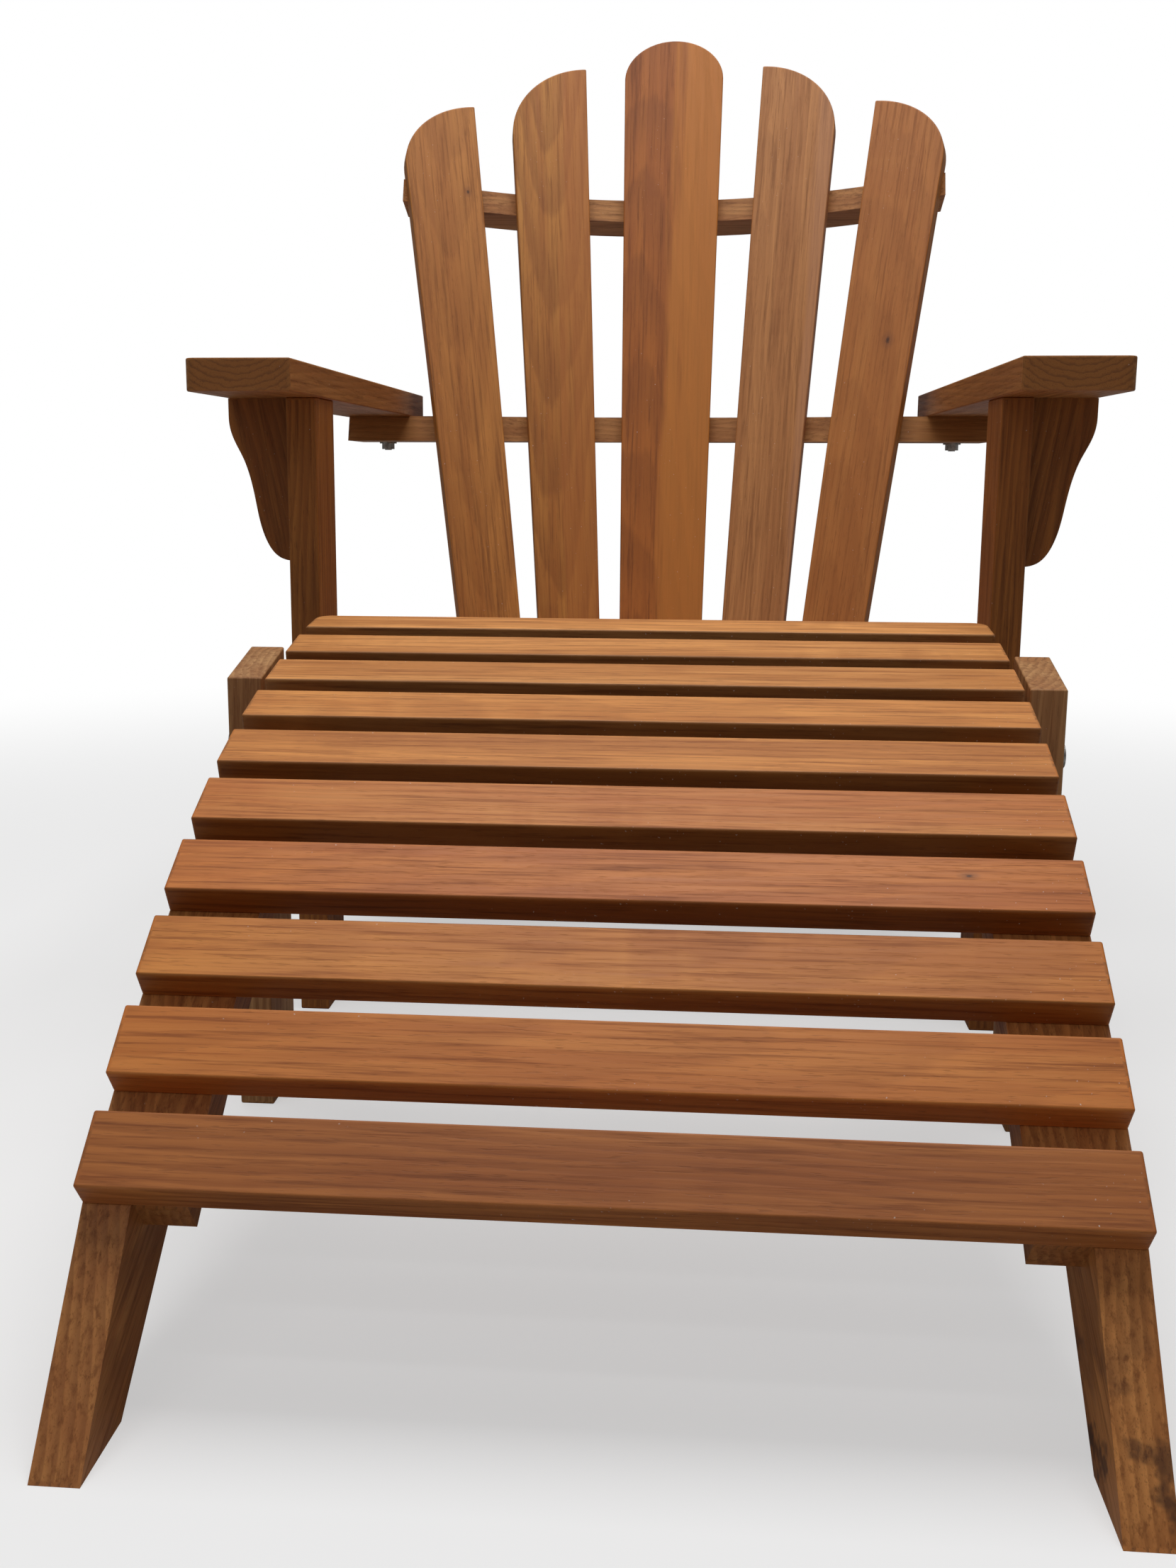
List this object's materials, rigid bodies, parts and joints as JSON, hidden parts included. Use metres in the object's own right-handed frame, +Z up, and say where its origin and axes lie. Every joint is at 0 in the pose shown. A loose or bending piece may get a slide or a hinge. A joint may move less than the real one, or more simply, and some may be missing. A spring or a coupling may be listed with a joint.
{
  "type": "adirondack chair",
  "caption": "Slatted teak Adirondack chair with a dished fan back, flat arms on S-shaped corbels and a matching curved slatted footrest standing in front of it.",
  "frame": {"origin": "On the floor, at the centre of the overall bounding box of the chair and its footrest.", "axes": "+X to the right seen from the front, +Y from the footrest to the back of the chair, +Z up. X = 0 is the mirror plane."},
  "size_m": [0.7676, 1.648, 1.0095],
  "materials": {
    "oiled_teak": "satin oil",
    "steel": "satin"
  },
  "bodies": {
    "chair": {"arm_bolts": "steel", "arm_rail": "oiled_teak", "armrest_left": "oiled_teak", "armrest_right": "oiled_teak", "back_board_1": "oiled_teak", "back_board_2": "oiled_teak", "back_board_3": "oiled_teak", "back_board_4": "oiled_teak", "back_board_5": "oiled_teak", "back_screws": "steel", "chair_nuts": "steel", "chair_washers": "steel", "corbel_left": "oiled_teak", "corbel_right": "oiled_teak", "frame_screws": "steel", "front_apron": "oiled_teak", "front_post_left": "oiled_teak", "front_post_right": "oiled_teak", "lower_back_rail": "oiled_teak", "post_bolts": "steel", "seat_batten_left": "oiled_teak", "seat_batten_right": "oiled_teak", "seat_screws": "steel", "seat_slat_1": "oiled_teak", "seat_slat_2": "oiled_teak", "seat_slat_3": "oiled_teak", "seat_slat_4": "oiled_teak", "seat_slat_5": "oiled_teak", "seat_slat_6": "oiled_teak", "stringer_left": "oiled_teak", "stringer_right": "oiled_teak", "upper_back_rail": "oiled_teak"},
    "footrest": {"footrest_batten_left": "oiled_teak", "footrest_batten_right": "oiled_teak", "footrest_bolts": "steel", "footrest_leg_left": "oiled_teak", "footrest_leg_right": "oiled_teak", "footrest_nuts": "steel", "footrest_rail_left": "oiled_teak", "footrest_rail_right": "oiled_teak", "footrest_screws": "steel", "footrest_slat_01": "oiled_teak", "footrest_slat_02": "oiled_teak", "footrest_slat_03": "oiled_teak", "footrest_slat_04": "oiled_teak", "footrest_slat_05": "oiled_teak", "footrest_slat_06": "oiled_teak", "footrest_slat_07": "oiled_teak", "footrest_slat_08": "oiled_teak", "footrest_slat_09": "oiled_teak", "footrest_slat_10": "oiled_teak", "footrest_spacers": "oiled_teak", "footrest_washers": "steel"}
  },
  "joints": [
    {"name": "footrest_slide", "type": "slide", "parent": "chair", "child": "footrest", "axis": [0, -1, 0], "range_m": [-0.05, 0.45]}
  ]
}
